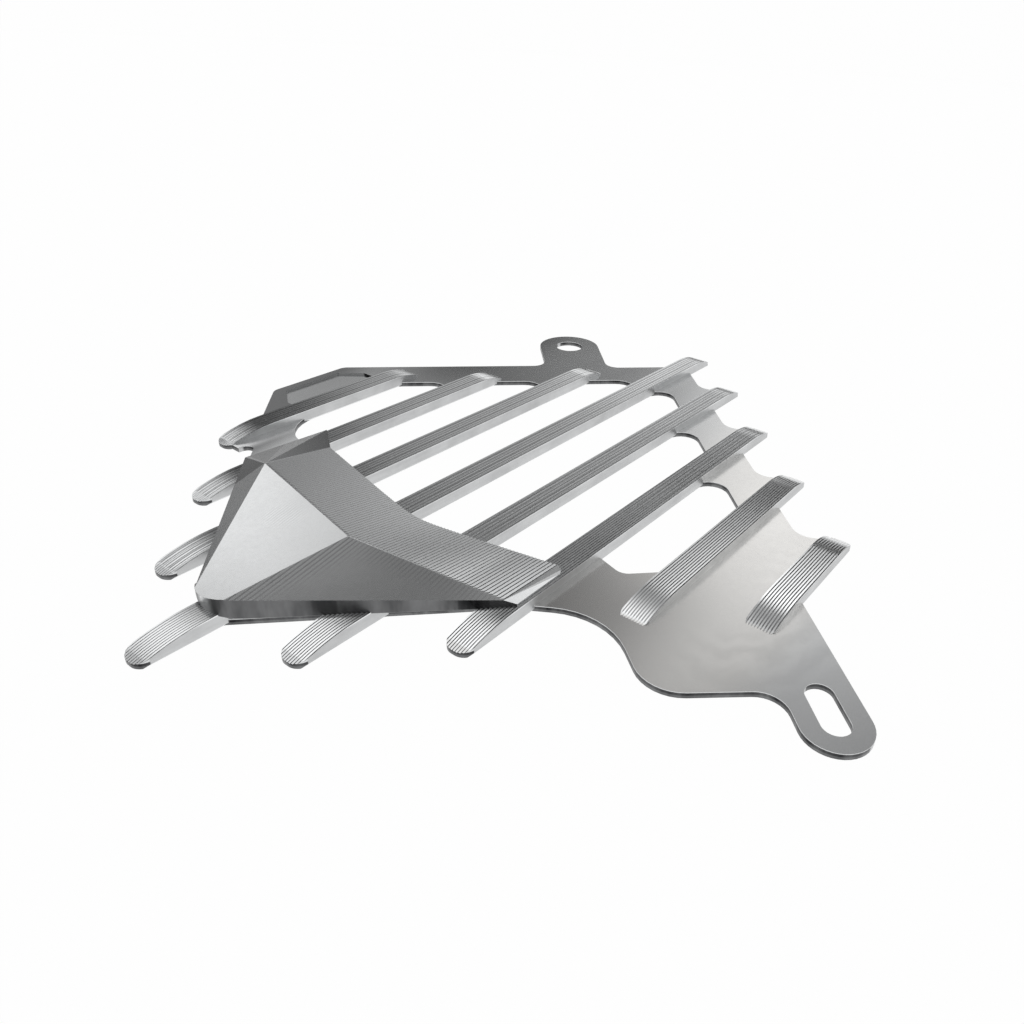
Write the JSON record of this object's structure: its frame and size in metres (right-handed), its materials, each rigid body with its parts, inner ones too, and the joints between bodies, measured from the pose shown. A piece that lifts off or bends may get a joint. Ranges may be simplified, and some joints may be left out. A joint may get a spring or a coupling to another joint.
{
  "type": "motorcycle radiator guard",
  "caption": "Flat machined guard of parallel finely grooved bars on an angled frame, with a faceted beak and two ears, fixed in front of a motorcycle radiator.",
  "frame": {"origin": "on the flat back face, under the middle of the longest bar", "axes": "+X along the bars towards the plain end, +Y across the bars towards the lug, +Z out of the front face"},
  "size_m": [0.2524, 0.2412, 0.0092],
  "materials": {
    "aluminium": "bare, as machined"
  },
  "bodies": {
    "root": {"radiator_guard": "aluminium"}
  },
  "joints": []
}
